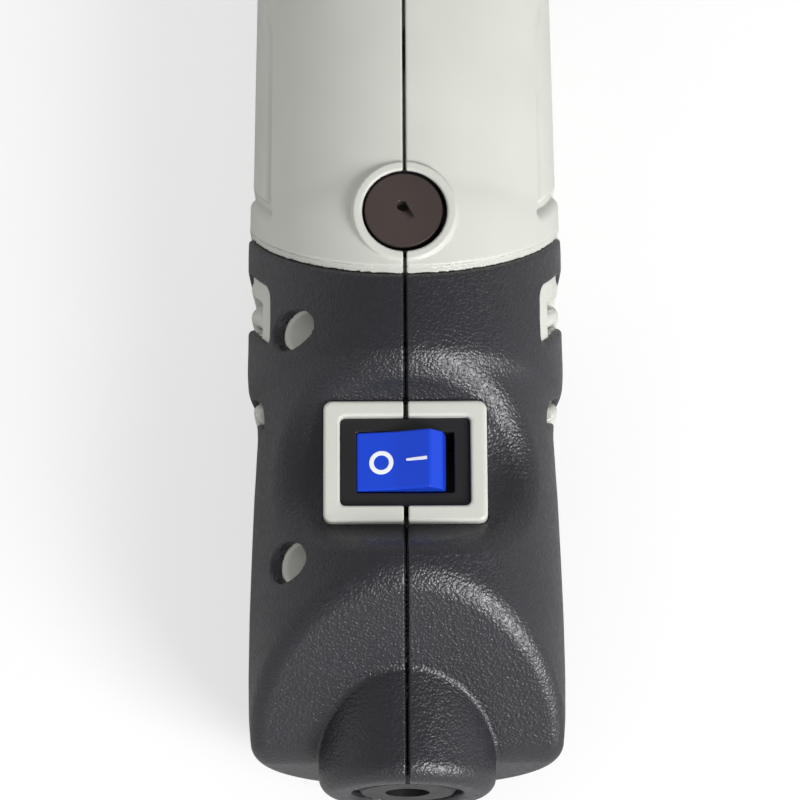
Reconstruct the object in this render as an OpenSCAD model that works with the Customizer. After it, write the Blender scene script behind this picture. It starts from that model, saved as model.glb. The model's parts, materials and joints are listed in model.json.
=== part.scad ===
// Corded rotary tool: a two-shell motor housing with a soft overmoulded rear grip,
// a rocker switch in a thumb scoop, a universal motor, and a threaded nose with a collet
// that takes a bit or the driving end of a flexible shaft.
// The spindle lies along Y with the nose at +Y. The switch faces +Z. The tool rests on z = 0.

/* [Barrel] */
// Radius of the grey front barrel
barrel_r = 25.9; // [25.6:0.1:26]
// Radius of the soft grip at its widest
grip_r = 26.1; // [25.6:0.1:26.4]
// Radius of the grip at its waist
waist_r = 24.6; // [24.4:0.1:25]
// Height of the spindle axis above the resting flat
axis_z = 24.5; // [24.3:0.1:24.6]
// Distance from the switch datum back to the flat tail end
tail_len = 50.5; // [49:0.5:52]
// Distance from the switch datum to the end of the nose cone
nose_y = 124; // [123:0.5:125]
// Thickness of the soft overmould
grip_t = 1.7; // [1.5:0.1:1.8]
// Thickness of the hard shell wall
wall = 2.2; // [2:0.1:2.4]
// Width of the open seam between the two halves
seam = 0.6; // [0.4:0.1:0.8]

/* [Colour split] */
// Where the grip ends at the sides
split_y = 38.4; // [38:0.2:39]
// Slope of the chevron edges
chevron_slope = 0.654; // [0.6:0.01:0.7]
// Rounding of the chevron tip
chevron_w = 4; // [3:0.5:5]

/* [Switch] */
// Middle of the switch along the barrel
switch_y = -5.6; // [-6:0.2:-5]
// Height of the switch frame above the spindle axis
frame_h = 20; // [19.6:0.1:20.4]
// Radius of the thumb scoop
scoop_r = 14.6; // [14:0.1:15]
// Height of the scoop's axis above the spindle axis
scoop_h = 29.3; // [29:0.1:30]
// Tilt of the rocker from level
rocker_tilt = 13; // [12:0.5:14]

/* [Brushes] */
// Middle of the brush caps along the barrel
brush_y = 34.6; // [34:0.2:35]
// Outer radius of the ring round each brush cap
ring_r = 8.6; // [8.4:0.1:8.8]
// Bore radius of the ring
ring_bore_r = 6.95; // [6.9:0.05:7]
// Radius of the brush cap
cap_r = 6.65; // [6.6:0.05:6.65]

/* [Cord entry] */
// Radius of the cord boss
boss_r = 14.4; // [13.8:0.1:14.5]
// Distance from the switch datum back to the boss's end face
boss_len = 56; // [55.6:0.2:57]
// Height of the boss's axis above the spindle axis
boss_h = -1; // [-1.2:0.1:-0.8]
// Radius of the boss's mouth
mouth_r = 9; // [8.8:0.1:9.1]
// Radius of the cord hole in the gland
cord_r = 3.6; // [3.2:0.1:4]

/* [Spindle] */
// Radius of the spindle at its bearings
spindle_r = 4; // [3.9:0.05:4.1]
// Radius of the shank hole in the collet
shank_r = 1.6; // [1.5:0.1:1.7]
// Outside radius of the threaded nose
nose_thread_r = 9; // [8.9:0.05:9.1]
// Radius of the rotor stack
rotor_r = 13.5; // [13:0.1:13.6]
// Radius of the stator stack
stator_r = 21; // [20.6:0.1:21.2]

/* [Hidden] */
$fn = 60;
// Rear end plane of the housing
tail_y = -tail_len;
// The bevel leaves the crest at this distance, this high above the axis, at this slope angle
bevel_y = -26.2;
bevel_h = 25.8;
bevel_a = 43.5;
// Total wall where the grip covers the shell
grip_wall = grip_t + wall;
// Side vent windows: distance of their upper and lower edges behind the colour split, half height
vent_top = 6.4;
vent_bottom = 16;
vent_half_h = 13.4;
vent_x = 17;
// Small lower vent: its distances behind the split and its half height
low_vent_top = 28;
low_vent_bottom = 31.8;
low_vent_half_h = 8.6;
// Part of the belly where the right half reaches across the seam
tongue_l = 18;
// Slots of the side vents, as distances behind the split to their middle, and their width
slots = [7.1, 11.2, 15.3];
slot_w = 1.8;
slot_half_h = 11;
// Radius of the rounded ribs between the slots
rib_r = 25.6;
// Floor and raised pad of the panel on each side of the front barrel
panel_floor_r = 24.85;
panel_pad_r = 25.3;
// Switch frame and the switch in it
frame_x = 26.4;
frame_y = 20.4;
frame_t = 2.7;
bezel_x = 20.8;
bezel_y = 14.8;
bezel_top = frame_h - 1.1;
body_x = 18.8;
body_y = 12.6;
body_depth = 13;
rocker_y = 9.7;
rocker_side_clear = 0.3;
// The rocker's pivot lies this far below the bezel. The opening's lip hangs over a wider well.
pivot_depth = 7;
well_x = 18;
well_depth = 11.5;
opening_x = 16.2;
lip_t = 0.45;
// Stations of the motor along the axis
rear_bearing_y = 13;
rear_bearing_l = 6;
rear_bearing_r = 9.5;
rear_journal_r = 3.5;
com_y = 27.5;
com_l = 13;
com_r = 9.2;
coil_back_y = 42;
stack_y = 48;
stack_l = 32;
coil_front_y = 86;
fan_y = 89.4;
fan_l = 6.8;
fan_r = 19.5;
front_bearing_y = 112;
front_bearing_l = 7;
front_bearing_r = 11;
race_gap = 0.5;
race_t = 2.6;
cup_t = 1.2;
nose_flange_y = 119.4;
nose_flange_l = 3;
nose_neck_r = 8.7;
nose_root_r = 9.8;
nose_root_l = 4.8;
nose_thread_l = 7.5;
spindle_tip_y = 142;
collet_nut_y = 136.6;
collet_nut_l = 13;
// Screw holes in the left half: distance along the barrel and height above the axis
screw_spots = [
    [16.9, 18.2], [-21.5, 16.4], [16.9, -18.2], [-21.5, -16.8], [100.5, 18], [100.5, -18]
];
screw_hole_r = 3.2;
screw_r = 1.5;
screw_boss_r = 4.4;
// Thumb wheel for the speed, in the tail under the cord boss
dial_y = -45.7;
dial_h = -17.2;
dial_r = 6;
dial_w = 6;
// Speed board: its rear edge and its underside
board_y = -35;
board_h = -12.2;
board_t = 1.6;
// Spindle lock button
lock_y = 107;
lock_r = 3.6;
lock_flange_r = 4.6;
lock_flange_h = 12.6;
lock_spring_h = 7.6;
// Tops of the brush caps above the axis: the lower one stays clear of the resting flat
cap_tops = [25.7, 23.6];
// Commutator bars
bars = 16;
eps = 0.01;

// ---- placing helpers -------------------------------------------------------------

// Local +Z points to the nose, from a station on the spindle axis
module on_axis(y) {
    translate([0, y, axis_z])
        rotate([-90, 0, 0])
            children();
}

// Height above the spindle axis, at a station
module at_station(y, h) {
    translate([0, y, axis_z + h])
        children();
}

module tube(outer, inner, length) {
    difference() {
        cylinder(r = outer, h = length);
        translate([0, 0, -1])
            cylinder(r = inner, h = length + 2);
    }
}

// Local +Z runs out of the cord boss
module on_boss(d) {
    translate([0, 0, axis_z + boss_h])
        rotate([90, 0, 0])
            translate([0, 0, d])
                children();
}

// ---- outer form ------------------------------------------------------------------

// Radius and station pairs of the whole outer barrel, inset by t
function tail_corner(t) = [
    for (a = [0 : 30 : 90])
        [25.7 - 3 - t + 3 * sin(a), tail_y + 3 + t - 3 * cos(a)]
];
function barrel_points(t) = concat(
    [[0, tail_y + t]],
    tail_corner(t),
    [
        [25.8 - t, -34], [25.4 - t, -17], [waist_r - t, 1], [waist_r - t, 6],
        [grip_r - 0.2 - t, 11], [grip_r + 0.1 - t, 34], [barrel_r + 0.1 - t, 40],
        [barrel_r - t, 60], [barrel_r - 0.3 - t, 82], [barrel_r - 0.8 - t, 92]
    ],
    nose_points(t)
);
// The nose cone follows half a cosine wave from the barrel down to the threaded ring
nose_r0 = barrel_r - 0.8;
nose_r1 = 13;
nose_start = 92;
function nose_points(t) = [
    for (i = [1 : 6])
        let (s = i / 6)
            [
                nose_r1 + (nose_r0 - nose_r1) * (1 + cos(180 * s)) / 2 - t,
                nose_start + (nose_y - nose_start) * s
            ],
    [0, nose_y]
];

module barrel(t) {
    on_axis(0)
        rotate_extrude()
            polygon(barrel_points(t));
}

module scoop(t) {
    at_station(switch_y - 0.5, scoop_h)
        rotate([0, 90, 0])
            cylinder(r = scoop_r + t, h = 70, center = true);
}

module bevel(t) {
    at_station(bevel_y, bevel_h)
        rotate([bevel_a, 0, 0])
            translate([-40, -60, -t])
                cube([80, 90, 40]);
}

// Barrel with the thumb scoop and the tail bevel, inset by t
module body(t) {
    difference() {
        barrel(t);
        scoop(t);
        bevel(t);
    }
}

module boss(t) {
    on_boss(26)
        rotate_extrude()
            polygon(concat(
                [[0, 0], [boss_r - t, 0]],
                [for (a = [0 : 30 : 90])
                    [boss_r - t - 3 + 3 * cos(a), boss_len - 29 - t + 3 * sin(a)]],
                [[0, boss_len - 26 - t]]
            ));
}

// Region in front of the colour split, as a chevron in side view shifted back by d
function chevron(z) = chevron_slope * (sqrt(z * z + chevron_w * chevron_w) - chevron_w);
module ahead_of(d, half_h = 40) {
    heights = [-half_h, -8, -3.5, 0, 3.5, 8, half_h];
    rotate([90, 0, 90])
        translate([0, axis_z, -40])
            linear_extrude(80)
                polygon(concat(
                    [for (z = heights) [split_y - d - chevron(z), z]],
                    [[200, half_h], [200, -half_h]]
                ));
}

// Outline of the sunk panel on the side of the front barrel, inset by i
function panel_points(i) = [
    [45.9 + i, 0], [44.1 + i, 4.5], [38.6 + 1.2 * i, 13.4 - i], [71.9 - 0.7 * i, 13.4 - i],
    [88 - i, 7.4 - 0.7 * i], [88 - i, -7.4 + 0.7 * i], [71.9 - 0.7 * i, i - 13.4],
    [38.6 + 1.2 * i, i - 13.4], [44.1 + i, -4.5]
];
module side_panels(i) {
    for (m = [0, 1])
        mirror([m, 0, 0])
            translate([17, 0, axis_z])
                rotate([90, 0, 90])
                    linear_extrude(20)
                        polygon(panel_points(i));
}

// A chevron band between d0 and d1 behind the split, on both sides outside x0
module side_band(d0, d1, half_h, x0) {
    heights = [-half_h, -8, -3.5, 0, 3.5, 8, half_h];
    backward = [half_h, 8, 3.5, 0, -3.5, -8, -half_h];
    for (m = [0, 1])
        mirror([m, 0, 0])
            translate([x0, 0, axis_z])
                rotate([90, 0, 90])
                    linear_extrude(20)
                        polygon(concat(
                            [for (z = heights) [split_y - d1 - chevron(z), z]],
                            [for (z = backward) [split_y - d0 - chevron(z), z]]
                        ));
}

// Everything on one side of the seam. The right half reaches across it at the belly.
module half_space(side) {
    translate([side > 0 ? seam / 2 : -60 - seam / 2, -100, 0])
        cube([60, 300, 60]);
    if (side > 0)
        translate([-seam / 2, -tongue_l, 0])
            cube([5, 2 * tongue_l, 3]);
}

// ---- cut-outs that the shell and the grip share ------------------------------------

module screw_holes(r) {
    for (s = screw_spots)
        translate([-60, s[0], axis_z + s[1]])
            rotate([0, 90, 0])
                cylinder(r = r, h = 60 - 6);
}

module ring_bores(r) {
    translate([0, brush_y, axis_z - 40])
        cylinder(r = r, h = 80);
}

module switch_well(x, y, h) {
    translate([-x / 2, switch_y - y / 2, axis_z + h])
        cube([x, y, 40]);
}

module mouth() {
    on_boss(boss_len - 14)
        cylinder(r = mouth_r, h = 20);
}

module dial_slot() {
    at_station(dial_y, dial_h)
        rotate([0, 90, 0])
            cylinder(r = dial_r + 0.7, h = dial_w + 1, center = true);
    // groove in the tail wall for the potentiometer's shaft
    at_station(dial_y, dial_h)
        rotate([0, 90, 0])
            cylinder(r = 1.8, h = 9.6);
}

// ---- housing ---------------------------------------------------------------------

// Outside of the hard shell: full size in front of the split, thinner under the grip
module shell_outside() {
    body(grip_t);
    boss(grip_t);
    intersection() {
        barrel(0);
        ahead_of(0);
    }
}

module shell_cavity() {
    difference() {
        body(grip_wall);
        // bulkhead webs that hold the bearings
        on_axis(rear_bearing_y - 2)
            tube(40, rear_bearing_r, rear_bearing_l + 3.5);
        on_axis(front_bearing_y - 2)
            tube(40, front_bearing_r, front_bearing_l + 4);
        // ribs that hold the stator
        for (y = [stack_y + 4, stack_y + stack_l - 7])
            on_axis(y)
                tube(40, stator_r + 0.05, 2.5);
        // rib that holds the fan baffle
        on_axis(fan_y - 3)
            tube(40, 19.6, 1.6);
    }
}

// Ribs between the slots of the side windows
module vent_ribs() {
    intersection() {
        union() {
            side_band(slots[0] + slot_w / 2, slots[1] - slot_w / 2, slot_half_h, 20);
            side_band(slots[1] + slot_w / 2, slots[2] - slot_w / 2, slot_half_h, 20);
            side_band(low_vent_top + 0.8, low_vent_bottom - 0.8, low_vent_half_h - 1, 20);
        }
        on_axis(0)
            cylinder(r = rib_r, h = 40);
    }
}

module brush_rings(r) {
    for (m = [0, 180])
        translate([0, brush_y, axis_z])
            rotate([0, m, 0])
                translate([0, 0, 12])
                    cylinder(r = r, h = grip_r - 11.6);
}

module screw_bosses() {
    for (s = screw_spots)
        translate([0, s[0], axis_z + s[1]])
            rotate([0, 90, 0])
                cylinder(r = screw_boss_r, h = 22, center = true);
}

// Solid features inside the shell, trimmed to its outer wall
module shell_insides() {
    intersection() {
        union() {
            screw_bosses();
            brush_rings(ring_r);
            // seat of the lock button
            translate([-8, lock_y - 5.6, axis_z + 6])
                cube([16, 9.4, 20]);
            // ledges for the cord clamp and for the speed board
            for (m = [0, 1])
                mirror([m, 0, 0]) {
                    on_boss(26)
                        translate([4.4, -3.7, 0])
                            cube([19, 3, 6]);
                    at_station(board_y, board_h - 1.4)
                        translate([13, 0, 0])
                            cube([10, 22, 1.4]);
                }
        }
        body(grip_t + 0.5);
    }
}

module shell_solid() {
    difference() {
        union() {
            difference() {
                shell_outside();
                shell_cavity();
            }
            vent_ribs();
            shell_insides();
            // ring walls standing out to the brush caps
            difference() {
                brush_rings(ring_r);
                on_axis(20)
                    cylinder(r = 24, h = 30);
            }
            // switch frame
            translate([-frame_x / 2, switch_y - frame_y / 2, axis_z + frame_h - 7])
                cube([frame_x, frame_y, 7]);
        }
        // open slots in the side windows
        for (d = slots)
            side_band(d - slot_w / 2, d + slot_w / 2, slot_half_h, 19);
        // sunk panel along each side of the front barrel, with a raised pad in it
        difference() {
            side_panels(0);
            on_axis(30)
                cylinder(r = panel_floor_r, h = 70);
            intersection() {
                side_panels(1.9);
                on_axis(30)
                    cylinder(r = panel_pad_r, h = 70);
            }
        }
        // well for the switch body, stepped for its bezel
        switch_well(body_x + 0.6, body_y + 0.6, 4);
        switch_well(bezel_x + 0.6, bezel_y + 0.6, bezel_top - 2);
        // bores for the brush caps and their holders
        translate([0, brush_y, axis_z - 40])
            cylinder(r = ring_bore_r, h = 80);
        // bearing pockets and the pocket of the threaded ring
        on_axis(rear_bearing_y - cup_t)
            cylinder(r = rear_bearing_r + cup_t, h = rear_bearing_l + cup_t);
        on_axis(front_bearing_y)
            cylinder(r = front_bearing_r, h = nose_flange_y + nose_flange_l - front_bearing_y);
        on_axis(nose_flange_y)
            cylinder(r = nose_neck_r, h = 10);
        // exhaust slots on both sides of the fan
        for (m = [0, 180])
            for (i = [-2 : 2])
                on_axis(fan_y + 1.6)
                    rotate([0, 0, m + 17 * i])
                        translate([18, -1.5, 0])
                            cube([10, 3, 6]);
        // screw holes, wide down to the heads and then narrow
        for (s = screw_spots)
            translate([0, s[0], axis_z + s[1]])
                rotate([0, -90, 0]) {
                    translate([0, 0, 6])
                        cylinder(r = screw_hole_r, h = 30);
                    translate([0, 0, -9])
                        cylinder(r = screw_r, h = 20);
                }
        mouth();
        dial_slot();
        // spindle lock button: its hole, the flange's chamber and the pin's hole
        at_station(lock_y, lock_spring_h)
            cylinder(r = lock_flange_r + 0.3, h = lock_flange_h - lock_spring_h + 3.2);
        at_station(lock_y, lock_flange_h)
            cylinder(r = lock_r + 0.3, h = 20);
        at_station(lock_y, 4)
            cylinder(r = 1.7, h = 10);
        // cord way through the boss
        on_boss(16)
            cylinder(r = 6, h = 40);
        // holes for the clamp's screws
        on_boss(29)
            for (x = [-6.6, 6.6])
                translate([x, 0, 0])
                    rotate([90, 0, 0])
                        cylinder(r = 1.2, h = 12);
        below_floor();
    }
}

module below_floor() {
    translate([-60, -100, -20])
        cube([120, 300, 20]);
}

module shell(side) {
    color([0.78, 0.79, 0.77])
        intersection() {
            shell_solid();
            half_space(side);
        }
}

module shell_left() {
    shell(-1);
}

module shell_right() {
    shell(1);
}

module grip_solid() {
    difference() {
        union() {
            body(0);
            boss(0);
        }
        body(grip_t);
        boss(grip_t);
        ahead_of(0.3);
        side_band(vent_top, vent_bottom, vent_half_h, 19);
        side_band(low_vent_top, low_vent_bottom, low_vent_half_h, 19);
        for (s = screw_spots)
            translate([0, s[0], axis_z + s[1]])
                rotate([0, -90, 0])
                    cylinder(r = screw_hole_r, h = 40);
        mouth();
        dial_slot();
        switch_well(frame_x, frame_y, 4);
        brush_rings(ring_r + 0.3);
        below_floor();
    }
}

module grip(side) {
    color([0.2, 0.2, 0.21])
        intersection() {
            grip_solid();
            half_space(side);
        }
}

module grip_left() {
    grip(-1);
}

module grip_right() {
    grip(1);
}

module housing_screws() {
    color([0.55, 0.56, 0.58])
        for (s = screw_spots)
            translate([0, s[0], axis_z + s[1]])
                rotate([0, -90, 0])
                    difference() {
                        union() {
                            translate([0, 0, 6])
                                cylinder(r = 2.8, h = 2.2);
                            translate([0, 0, -8])
                                cylinder(r = screw_r - 0.1, h = 14 + eps);
                        }
                        translate([-2, -0.35, 7.2])
                            cube([4, 0.7, 1.8]);
                        translate([-0.35, -2, 7.2])
                            cube([0.7, 4, 1.8]);
                    }
}

// ---- switch ----------------------------------------------------------------------

module switch_housing() {
    well_y = rocker_y + 2 * rocker_side_clear;
    color([0.17, 0.17, 0.18])
        difference() {
            union() {
                at_station(switch_y, bezel_top - 2)
                    translate([-bezel_x / 2, -bezel_y / 2, 0])
                        cube([bezel_x, bezel_y, 2]);
                at_station(switch_y, bezel_top - 2 - body_depth)
                    translate([-body_x / 2, -body_y / 2, 0])
                        cube([body_x, body_y, body_depth + eps]);
            }
            at_station(switch_y, bezel_top - well_depth)
                translate([-well_x / 2, -well_y / 2, 0])
                    cube([well_x, well_y, well_depth - lip_t]);
            at_station(switch_y, bezel_top - 1)
                translate([-opening_x / 2, -well_y / 2, 0])
                    cube([opening_x, well_y, 3]);
            // pivot sockets
            at_station(switch_y, bezel_top - pivot_depth)
                rotate([90, 0, 0])
                    cylinder(r = 1.06, h = body_y - 0.6, center = true);
        }
}

module switch_terminals() {
    color([0.72, 0.6, 0.3])
        for (x = [-4.5, 4.5])
            translate([x - 0.4, switch_y - 2.4, axis_z + bezel_top - 2 - body_depth - 7])
                difference() {
                    cube([0.8, 4.8, 7]);
                    translate([-1, 2.4, 2])
                        rotate([0, 90, 0])
                            cylinder(r = 0.8, h = 3);
                }
}

// Side view of the rocker about its pivot: two faces meeting in a shallow V
module rocker_profile() {
    polygon([
        [-2.5, -2], [-6.4, 1.6], [-7.65, 6.3], [-6, 8.5], [0, 8],
        [6, 8.5], [7.65, 6.3], [6.4, 1.6], [2.5, -2]
    ]);
}

module switch_rocker() {
    color([0.15, 0.27, 0.72])
        at_station(switch_y, bezel_top - pivot_depth)
            rotate([0, -rocker_tilt, 0]) {
                rotate([90, 0, 0])
                    linear_extrude(rocker_y, center = true)
                        rocker_profile();
                rotate([90, 0, 0])
                    cylinder(r = 1, h = body_y - 0.9, center = true);
            }
}

// ---- brushes ---------------------------------------------------------------------

// Children are built for the top brush and turned over for the bottom one
module brush_side(side) {
    translate([0, brush_y, axis_z])
        rotate([0, side > 0 ? 0 : 180, 0])
            children();
}

module brush_cap(side) {
    top = cap_tops[side > 0 ? 0 : 1];
    color([0.32, 0.28, 0.26])
        brush_side(side)
            difference() {
                union() {
                    translate([0, 0, top - 3.2])
                        cylinder(r = cap_r, h = 3.2);
                    translate([0, 0, 19])
                        cylinder(r = 3.6, h = top - 3.2 - 19 + eps);
                }
                translate([0.44, -0.54, 0])
                    rotate([0, 0, 29])
                        translate([-0.8, -1.9, top - 1.2])
                            cube([1.6, 3.8, 3]);
            }
}

module brush_cap_top() {
    brush_cap(1);
}

module brush_cap_bottom() {
    brush_cap(-1);
}

module brush_holder(side) {
    color([0.8, 0.65, 0.3])
        brush_side(side)
            difference() {
                union() {
                    translate([-3.6, -4.6, 10.6])
                        cube([7.2, 9.2, 8.3]);
                    translate([0, 0, 16.9])
                        cylinder(r = ring_bore_r, h = 2);
                }
                translate([-2.6, -3.6, 10])
                    cube([5.2, 7.2, 10]);
            }
}

module brush_holder_top() {
    brush_holder(1);
}

module brush_holder_bottom() {
    brush_holder(-1);
}

module brush(side) {
    color([0.12, 0.12, 0.12])
        brush_side(side)
            translate([-2.3, -3.3, com_r + 0.15])
                cube([4.6, 6.6, 6]);
}

module brush_top() {
    brush(1);
}

module brush_bottom() {
    brush(-1);
}

module brush_spring(side) {
    color([0.75, 0.75, 0.75])
        brush_side(side)
            translate([0, 0, com_r + 6.2])
                tube(2.1, 1.5, 3.5);
}

module brush_spring_top() {
    brush_spring(1);
}

module brush_spring_bottom() {
    brush_spring(-1);
}

// ---- motor -----------------------------------------------------------------------

// Yoke with two poles at the sides, slotted for the field coils
module stator_core() {
    color([0.5, 0.5, 0.52])
        on_axis(stack_y)
            difference() {
                cylinder(r = stator_r, h = stack_l);
                translate([0, 0, -1])
                    cylinder(r = rotor_r + 0.5, h = stack_l + 2);
                difference() {
                    translate([0, 0, -1])
                        tube(18.5, 16.4, stack_l + 2);
                    translate([-30, -6, -2])
                        cube([60, 12, stack_l + 4]);
                }
                translate([-3.5, -17, -1])
                    cube([7, 34, stack_l + 2]);
            }
}

// One coil round each pole, standing out past the stack at both ends
module field_coils() {
    color([0.7, 0.4, 0.2])
        for (m = [0, 180])
            on_axis(stack_y - 4)
                rotate([0, 0, m])
                    intersection() {
                        tube(18.3, 16.6, stack_l + 8);
                        difference() {
                            translate([4, -16, 0])
                                cube([20, 32, stack_l + 8]);
                            translate([0, -6.2, 3.8])
                                cube([30, 12.4, stack_l + 0.4]);
                        }
                    }
}

module rotor_core() {
    color([0.45, 0.45, 0.47])
        on_axis(stack_y)
            difference() {
                cylinder(r = rotor_r, h = stack_l);
                translate([0, 0, -1])
                    cylinder(r = spindle_r + 0.5, h = stack_l + 2);
                for (i = [0 : 11])
                    rotate([0, 0, 30 * i])
                        translate([rotor_r - 4, -0.8, -1])
                            cube([6, 1.6, stack_l + 2]);
            }
}

module rotor_winding() {
    color([0.68, 0.36, 0.16]) {
        on_axis(coil_back_y)
            tube(11.6, spindle_r, stack_y - coil_back_y);
        on_axis(stack_y + stack_l)
            tube(11.6, spindle_r, coil_front_y - stack_y - stack_l);
    }
}

module commutator() {
    color([0.75, 0.45, 0.25])
        on_axis(com_y)
            difference() {
                cylinder(r = com_r, h = com_l);
                translate([0, 0, -1])
                    cylinder(r = spindle_r, h = com_l + 2);
                for (i = [0 : bars - 1])
                    rotate([0, 0, 360 / bars * i])
                        translate([com_r - 0.9, -0.25, -1])
                            cube([2, 0.5, com_l + 2]);
            }
}

module spindle() {
    front_y = front_bearing_y + front_bearing_l;
    color([0.72, 0.73, 0.75])
        difference() {
            union() {
                on_axis(rear_bearing_y - 0.5)
                    cylinder(r = rear_journal_r, h = rear_bearing_l + 1);
                on_axis(rear_bearing_y + rear_bearing_l)
                    cylinder(r = spindle_r, h = front_y - rear_bearing_y - rear_bearing_l + eps);
                on_axis(stack_y)
                    cylinder(r = spindle_r + 0.5, h = stack_l);
                on_axis(front_y)
                    cylinder(r = spindle_r + 0.8, h = spindle_tip_y - front_y);
            }
            // collet seat
            on_axis(spindle_tip_y - 17)
                cylinder(r = 2.6, h = 20);
            // cross hole for the lock pin
            at_station(lock_y, 0)
                cylinder(r = 1.6, h = 20, center = true);
        }
}

module fan() {
    color([0.16, 0.16, 0.17])
        on_axis(fan_y)
            difference() {
                union() {
                    cylinder(r = fan_r, h = 1.4);
                    cylinder(r = 7, h = fan_l);
                    intersection() {
                        cylinder(r = fan_r, h = fan_l);
                        for (i = [0 : 8])
                            rotate([0, 0, 40 * i])
                                translate([6, -0.6, 0])
                                    cube([fan_r, 1.2, fan_l - 0.8]);
                    }
                }
                translate([0, 0, -1])
                    cylinder(r = spindle_r, h = fan_l + 2);
            }
}

module fan_baffle() {
    color([0.75, 0.72, 0.62])
        on_axis(fan_y - 3)
            tube(19.6, 13, 1.6);
}

module race_outer(y, length, r) {
    on_axis(y)
        tube(r, r - race_t, length);
}

module race_inner(y, length, r, bore) {
    on_axis(y)
        tube(r - race_t - race_gap, bore, length);
}

module rear_bearing_outer() {
    color([0.7, 0.71, 0.73])
        race_outer(rear_bearing_y, rear_bearing_l, rear_bearing_r);
}

module rear_bearing_inner() {
    color([0.78, 0.79, 0.8])
        race_inner(rear_bearing_y, rear_bearing_l, rear_bearing_r, rear_journal_r);
}

module rear_bearing_cup() {
    color([0.1, 0.1, 0.1])
        on_axis(rear_bearing_y - cup_t)
            difference() {
                cylinder(r = rear_bearing_r + cup_t, h = rear_bearing_l + cup_t);
                translate([0, 0, cup_t])
                    cylinder(r = rear_bearing_r, h = rear_bearing_l + 1);
                translate([0, 0, -1])
                    cylinder(r = rear_bearing_r - 2, h = 4);
            }
}

module front_bearing_outer() {
    color([0.7, 0.71, 0.73])
        race_outer(front_bearing_y, front_bearing_l, front_bearing_r);
}

module front_bearing_inner() {
    color([0.78, 0.79, 0.8])
        race_inner(front_bearing_y, front_bearing_l, front_bearing_r, spindle_r);
}

// ---- nose ------------------------------------------------------------------------

module nose_ring() {
    color([0.66, 0.67, 0.7])
        difference() {
            union() {
                on_axis(nose_flange_y)
                    cylinder(r = front_bearing_r, h = nose_flange_l);
                on_axis(nose_flange_y)
                    cylinder(r = nose_neck_r, h = 8);
                on_axis(nose_y)
                    cylinder(r = nose_root_r, h = nose_root_l);
                on_axis(nose_y + nose_root_l - eps)
                    cylinder(r = nose_thread_r, h = nose_thread_l + eps);
            }
            on_axis(nose_flange_y - 1)
                cylinder(r = 7.4, h = 30);
        }
}

// Notched ring on the root of the nose, which is tightened against an attachment
module lock_ring() {
    color([0.15, 0.15, 0.16])
        on_axis(nose_y + 0.3)
            difference() {
                cylinder(r = 12.4, h = nose_root_l - 0.5);
                translate([0, 0, -1])
                    cylinder(r = nose_root_r + 0.08, h = 11);
                for (i = [0 : 11])
                    rotate([0, 0, 30 * i])
                        translate([13, 0, -1])
                            cylinder(r = 1.2, h = 9);
            }
}

module collet() {
    color([0.7, 0.71, 0.72])
        on_axis(spindle_tip_y)
            difference() {
                union() {
                    translate([0, 0, -16])
                        cylinder(r = 2.6, h = 16.2);
                    translate([0, 0, 0.2 - eps])
                        cylinder(r1 = 2.6, r2 = 3.1, h = 2.4);
                    translate([0, 0, 2.6 - 2 * eps])
                        cylinder(r1 = 3.1, r2 = 2.2, h = 2.6);
                }
                translate([0, 0, -14])
                    cylinder(r = shank_r, h = 30);
                // slits that let the collet close
                translate([-4, -0.15, -6])
                    cube([8, 0.3, 20]);
                translate([-0.15, -4, -6])
                    cube([0.3, 8, 20]);
            }
}

module collet_nut() {
    color([0.6, 0.61, 0.63])
        on_axis(collet_nut_y)
            difference() {
                union() {
                    cylinder(r = 6.6, h = 5);
                    translate([0, 0, 5 - eps])
                        cylinder(r = 7, h = 5, $fn = 6);
                    translate([0, 0, 10 - 2 * eps])
                        cylinder(r = 4.6, h = collet_nut_l - 10);
                }
                translate([0, 0, -1])
                    cylinder(r = spindle_r + 0.88, h = 7.2);
                translate([0, 0, -1])
                    cylinder(r = 3.45, h = 11.6);
                translate([0, 0, -1])
                    cylinder(r = 2.6, h = 30);
            }
}

module lock_button() {
    color([0.15, 0.15, 0.16]) {
        intersection() {
            at_station(lock_y, lock_flange_h)
                cylinder(r = lock_r, h = 20);
            barrel(-1);
        }
        at_station(lock_y, lock_flange_h)
            cylinder(r = lock_flange_r, h = 2);
        at_station(lock_y, 5.2)
            cylinder(r = 1.3, h = lock_flange_h - 5.2 + eps);
    }
}

module lock_spring() {
    color([0.75, 0.75, 0.76])
        at_station(lock_y, lock_spring_h)
            tube(3, 2.3, lock_flange_h - lock_spring_h - 0.02);
}

// ---- speed control and cord entry --------------------------------------------------

module speed_dial() {
    color([0.15, 0.15, 0.16])
        at_station(dial_y, dial_h)
            rotate([0, 90, 0])
                difference() {
                    cylinder(r = dial_r, h = dial_w, center = true);
                    cylinder(r = 1.5, h = dial_w + 5, center = true);
                    for (i = [0 : 15])
                        rotate([0, 0, 22.5 * i])
                            translate([dial_r + 0.3, 0, -dial_w])
                                cylinder(r = 0.7, h = 2 * dial_w);
                }
}

// Board with its parts and the potentiometer's shaft through the dial
module speed_board() {
    color([0.15, 0.4, 0.22]) {
        at_station(board_y, board_h)
            translate([-16.6, 0, 0])
                cube([33.2, 22, board_t]);
        at_station(board_y + 10, board_h + board_t - eps)
            translate([-9, 0, 0])
                cube([8, 9, 5]);
        at_station(board_y + 17, board_h + board_t - eps)
            translate([4.5, 0, 0])
                cylinder(r = 3.5, h = 5);
        // potentiometer beside the dial, joined to the board
        at_station(dial_y, dial_h)
            rotate([0, 90, 0])
                cylinder(r = 1.42, h = 9);
        at_station(dial_y, dial_h)
            translate([3.9, 0.5, -2.2])
                cube([3.4, 3.7, 8.2]);
        at_station(dial_y + 3, board_h)
            translate([3.9, 0, 0])
                cube([3.4, 8.7, board_t]);
    }
}

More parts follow.
